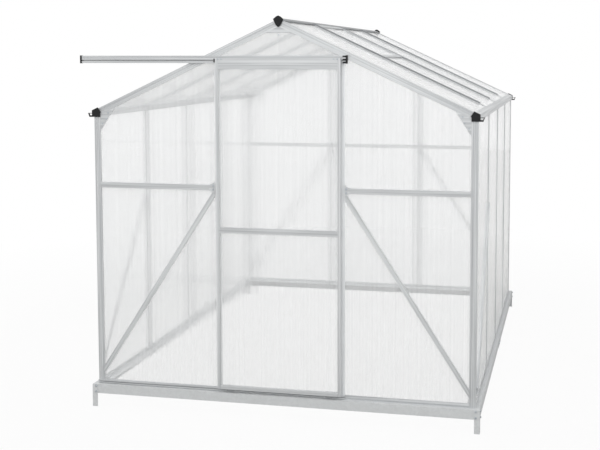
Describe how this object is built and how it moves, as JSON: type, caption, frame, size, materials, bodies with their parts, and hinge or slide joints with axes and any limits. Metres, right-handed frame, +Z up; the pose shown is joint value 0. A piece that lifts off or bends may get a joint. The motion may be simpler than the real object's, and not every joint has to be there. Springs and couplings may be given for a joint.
{
  "type": "polycarbonate greenhouse with a sliding door",
  "caption": "Gabled walk-in greenhouse: aluminium bars hold translucent twin-wall sheets on a steel base with corner stakes, and a hanging door slides aside to let people in.",
  "frame": {"origin": "on the floor under the middle of the house, level with the lower ends of the stakes", "axes": "+X to the right as seen from the door, +Y from the door to the back wall, +Z up"},
  "size_m": [1.941, 2.561, 1.9008],
  "materials": {
    "galvanised_steel": "hot-dip galvanised sheet steel, satin, faint spangle",
    "mill_aluminium": "extruded aluminium, mill finish with fine draw lines",
    "grey_aluminium": "extruded aluminium, duller and darker, with fine draw lines",
    "twin_wall_sheet": "clear twin-wall polycarbonate, milky with flutes from top to bottom",
    "black_nylon": "moulded black nylon, satin",
    "grey_nylon": "moulded grey nylon, satin"
  },
  "bodies": {
    "house": {"base_front": "galvanised_steel", "base_back": "galvanised_steel", "base_left": "galvanised_steel", "base_right": "galvanised_steel", "base_splices": "galvanised_steel", "corner_stakes": "galvanised_steel", "front_sills": "mill_aluminium", "back_sills": "mill_aluminium", "side_sills": "mill_aluminium", "corner_posts": "mill_aluminium", "door_posts": "mill_aluminium", "back_posts": "mill_aluminium", "left_posts": "mill_aluminium", "right_posts": "mill_aluminium", "front_rails": "mill_aluminium", "back_rails": "mill_aluminium", "rail_brackets": "mill_aluminium", "front_braces": "mill_aluminium", "back_braces": "mill_aluminium", "side_braces": "mill_aluminium", "left_gutter": "mill_aluminium", "right_gutter": "mill_aluminium", "front_rafters": "mill_aluminium", "back_rafters": "mill_aluminium", "roof_window_frame": "mill_aluminium", "door_header": "mill_aluminium", "door_track": "mill_aluminium", "door_guide_rail": "mill_aluminium", "gussets": "mill_aluminium", "ridge_beam": "grey_aluminium", "left_roof_bars": "grey_aluminium", "right_roof_bars": "grey_aluminium", "front_sheets": "twin_wall_sheet", "back_sheets": "twin_wall_sheet", "left_sheets": "twin_wall_sheet", "right_sheets": "twin_wall_sheet", "left_roof_sheets": "twin_wall_sheet", "right_roof_sheets": "twin_wall_sheet", "roof_window_sheet": "twin_wall_sheet", "end_caps": "black_nylon", "track_caps": "black_nylon"},
    "door": {"door_stiles": "mill_aluminium", "door_rails": "mill_aluminium", "door_sheets": "twin_wall_sheet", "door_hangers": "black_nylon", "door_shoes": "grey_nylon"}
  },
  "joints": [
    {"name": "door_slide", "type": "slide", "parent": "house", "child": "door", "axis": [-1, 0, 0], "range_m": [0, 0.6]}
  ]
}
